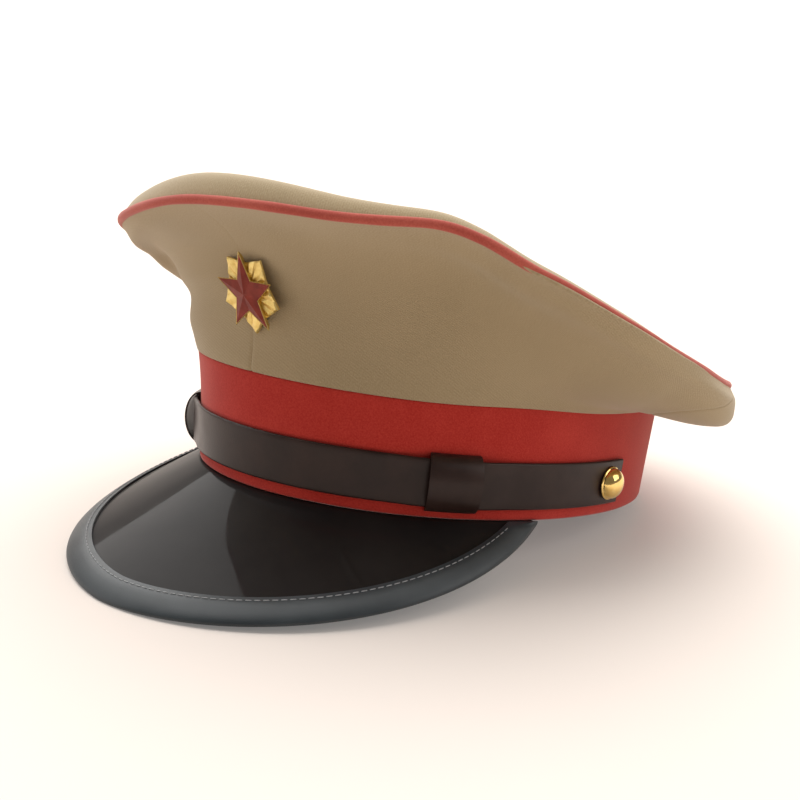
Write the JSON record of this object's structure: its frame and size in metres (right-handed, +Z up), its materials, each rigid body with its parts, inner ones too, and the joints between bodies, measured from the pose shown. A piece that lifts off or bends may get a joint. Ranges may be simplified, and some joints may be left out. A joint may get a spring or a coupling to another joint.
{
  "type": "peaked uniform cap",
  "caption": "Peaked uniform cap: khaki cloth crown with red piping, red head band, glossy black peak, dark chin strap with loops, gold side buttons and a star badge",
  "frame": {"origin": "the middle of the floor patch under the cap as it rests, at floor height", "axes": "+Z up, front and peak towards -Y, the wearer's left towards +X"},
  "size_m": [0.2424, 0.2896, 0.1403],
  "materials": {
    "khaki_cloth": "matt twill-woven cotton",
    "red_cloth": "matt felted cloth",
    "black_patent": "high gloss",
    "dark_satin_vinyl": "satin",
    "dark_strap_leather": "smooth, soft sheen",
    "polished_gold": "polished",
    "gilt_rays": "stamped and gilded",
    "red_enamel": "gloss enamel"
  },
  "bodies": {
    "root": {"band": "red_cloth", "crown_side_left": "khaki_cloth", "crown_side_right": "khaki_cloth", "crown_side_back": "khaki_cloth", "crown_top": "khaki_cloth", "crown_piping": "red_cloth", "peak": "black_patent", "peak_binding": "dark_satin_vinyl", "chin_strap": "dark_strap_leather", "strap_keeper_left": "dark_strap_leather", "strap_keeper_right": "dark_strap_leather", "button_left": "polished_gold", "button_right": "polished_gold", "badge_rays": "gilt_rays", "badge_star": "red_enamel"}
  },
  "joints": []
}
